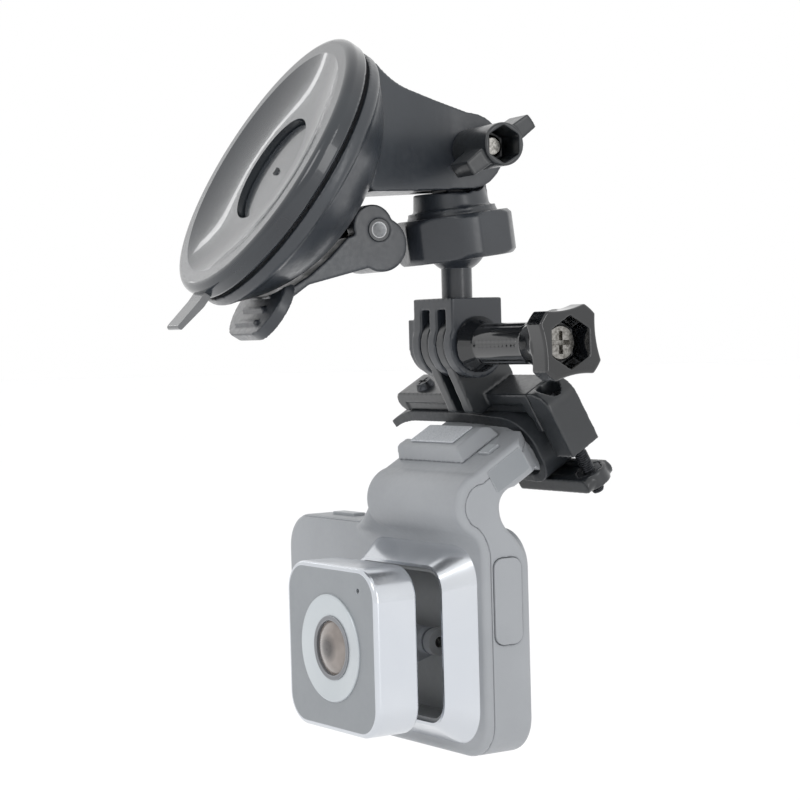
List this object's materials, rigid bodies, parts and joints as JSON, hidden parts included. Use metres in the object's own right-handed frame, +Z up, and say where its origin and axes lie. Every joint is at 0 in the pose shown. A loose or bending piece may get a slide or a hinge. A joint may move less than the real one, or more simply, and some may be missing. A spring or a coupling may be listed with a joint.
{
  "type": "dash camera",
  "caption": "Dash camera with a tilting square lens module and a goose-neck housing, clamped to a lever-locked suction bracket with ball head and prong joint.",
  "frame": {"origin": "centre of the suction pad's sealing face, which lies on the windscreen", "axes": "+Z up; +Y from the windscreen into the vehicle; the suction face looks along -Y and up by 31.5 degrees; the lens looks along -Y, turned by 8.6 degrees on the ball"},
  "size_m": [0.1054, 0.095, 0.1581],
  "materials": {
    "pad_rubber": "glossy soft polyurethane",
    "bracket_plastic": "satin moulded",
    "knob_plastic": "polished",
    "liner_rubber": "satin",
    "steel": "bright zinc",
    "black_steel": "black oxide",
    "body_plastic": "fine satin",
    "silver_trim": "satin silver",
    "panel_plastic": "satin",
    "recess_plastic": "matte",
    "lens_glass": "coated",
    "screen_glass": "gloss",
    "screen_back": "matte",
    "board": "solder mask",
    "sensor": "gloss",
    "battery_wrap": "film",
    "speaker_black": "matte",
    "foam": "matte",
    "key_plastic": "satin",
    "label_film": "satin"
  },
  "bodies": {
    "suction_mount": {"suction_pad": "pad_rubber", "plunger_spring": "steel", "cup_housing": "bracket_plastic", "arm_nut": "steel"},
    "plunger": {"pad_plug": "pad_rubber", "plunger_rod": "steel"},
    "lever": {"lock_lever": "bracket_plastic", "lever_pin": "steel"},
    "wing_screw": {"wing_knob": "bracket_plastic", "wing_bolt": "steel"},
    "socket_arm": {"socket_stem": "bracket_plastic"},
    "collar": {"collar_nut": "bracket_plastic"},
    "ball_seat": {"ball_cup": "bracket_plastic"},
    "ball": {"ball_stud": "bracket_plastic"},
    "fork": {"prong_block": "bracket_plastic", "prong_nut": "steel"},
    "thumbscrew": {"thumb_knob": "knob_plastic", "thumb_bolt": "steel"},
    "camera": {"clamp_frame": "bracket_plastic", "clamp_block": "bracket_plastic", "plate_screw": "black_steel", "clamp_liner": "liner_rubber", "front_shell": "body_plastic", "rear_shell": "body_plastic", "bezel": "silver_trim", "recess_tray": "recess_plastic", "tilt_axle": "steel", "screen": "screen_glass", "screen_panel": "screen_back", "main_board": "board", "battery": "battery_wrap", "speaker": "speaker_black", "card_socket": "steel", "power_port": "steel", "mount_shoe": "body_plastic", "shoe_pad": "foam", "label_plate": "label_film"},
    "jaw_screw": {"clamp_screw": "black_steel"},
    "jaw": {"lower_jaw": "bracket_plastic", "jaw_nut": "steel"},
    "lens_module": {"module_case": "silver_trim", "front_panel": "panel_plastic", "lens_ring": "silver_trim", "lens_barrel": "recess_plastic", "front_lens": "lens_glass", "rear_lens": "lens_glass", "sensor_board": "board", "image_sensor": "sensor"},
    "cover": {"slot_cover": "body_plastic"},
    "power_key": {"power_button": "key_plastic"},
    "latch_key": {"latch_button": "key_plastic"}
  },
  "joints": [
    {"name": "plunger_slide", "type": "slide", "parent": "suction_mount", "child": "plunger", "axis": [0, -0.8526, 0.5225], "range_m": [0, 0.0018]},
    {"name": "lever_hinge", "type": "hinge", "parent": "plunger", "child": "lever", "pos_m": [0, 0.02473, -0.01515], "axis": [1, 0, 0], "range_deg": [0, 75]},
    {"name": "wing_turn", "type": "hinge", "parent": "suction_mount", "child": "wing_screw", "pos_m": [0, 0.0466, 0.0022], "axis": [1, 0, 0], "range_deg": [0, 720]},
    {"name": "arm_tilt", "type": "hinge", "parent": "suction_mount", "child": "socket_arm", "pos_m": [0, 0.0466, 0.0022], "axis": [1, 0, 0], "range_deg": [0, 60]},
    {"name": "collar_turn", "type": "hinge", "parent": "socket_arm", "child": "collar", "pos_m": [0, 0.0464, -0.0173], "axis": [0, -0.1219, 0.9925], "range_deg": [0, 720]},
    {"name": "ball_swing", "type": "hinge", "parent": "socket_arm", "child": "ball_seat", "pos_m": [0, 0.0464, -0.0173], "axis": [0, -0.1219, 0.9925], "continuous": true},
    {"name": "ball_tilt", "type": "hinge", "parent": "ball_seat", "child": "ball", "pos_m": [0, 0.0464, -0.0173], "axis": [1, 0, 0], "range_deg": [-12, 25]},
    {"name": "ball_turn", "type": "hinge", "parent": "ball", "child": "fork", "pos_m": [0, 0.0464, -0.0173], "axis": [0, 0, 1], "continuous": true},
    {"name": "prong_tilt", "type": "hinge", "parent": "fork", "child": "camera", "pos_m": [0, 0.0464, -0.0407], "axis": [0.9888, 0.1495, 0], "range_deg": [-35, 55]},
    {"name": "thumb_turn", "type": "hinge", "parent": "fork", "child": "thumbscrew", "pos_m": [0, 0.0464, -0.0407], "axis": [0.9888, 0.1495, 0], "range_deg": [0, 720]},
    {"name": "jaw_screw_turn", "type": "hinge", "parent": "camera", "child": "jaw_screw", "pos_m": [0.02018, 0.06275, -0.05962], "axis": [0.0748, -0.4944, 0.866], "range_deg": [0, 1800]},
    {"name": "jaw_slide", "type": "slide", "parent": "camera", "child": "jaw", "axis": [-0.0748, 0.4944, -0.866], "range_m": [0, 0.0025]},
    {"name": "lens_tilt", "type": "hinge", "parent": "camera", "child": "lens_module", "pos_m": [-0.00394, 0.03569, -0.1067], "axis": [0.9888, 0.1495, 0], "range_deg": [-15, 15]},
    {"name": "cover_hinge", "type": "hinge", "parent": "camera", "child": "cover", "pos_m": [0.0191, 0.05099, -0.0969], "axis": [0, 0, 1], "range_deg": [0, 95]},
    {"name": "power_press", "type": "slide", "parent": "camera", "child": "power_key", "axis": [0, 0, -1], "range_m": [0, 0.0006], "stiffness_N_per_m": 600, "springref_m": -0.0003},
    {"name": "latch_press", "type": "slide", "parent": "camera", "child": "latch_key", "axis": [-0.0748, 0.4944, -0.866], "range_m": [0, 0.001], "stiffness_N_per_m": 400, "springref_m": -0.0003}
  ],
  "couplings": [
    {"joint": "lever_hinge", "follows": "plunger_slide", "rad_per_m": 727.2},
    {"joint": "jaw_screw_turn", "follows": "jaw_slide", "rad_per_m": 12566}
  ]
}
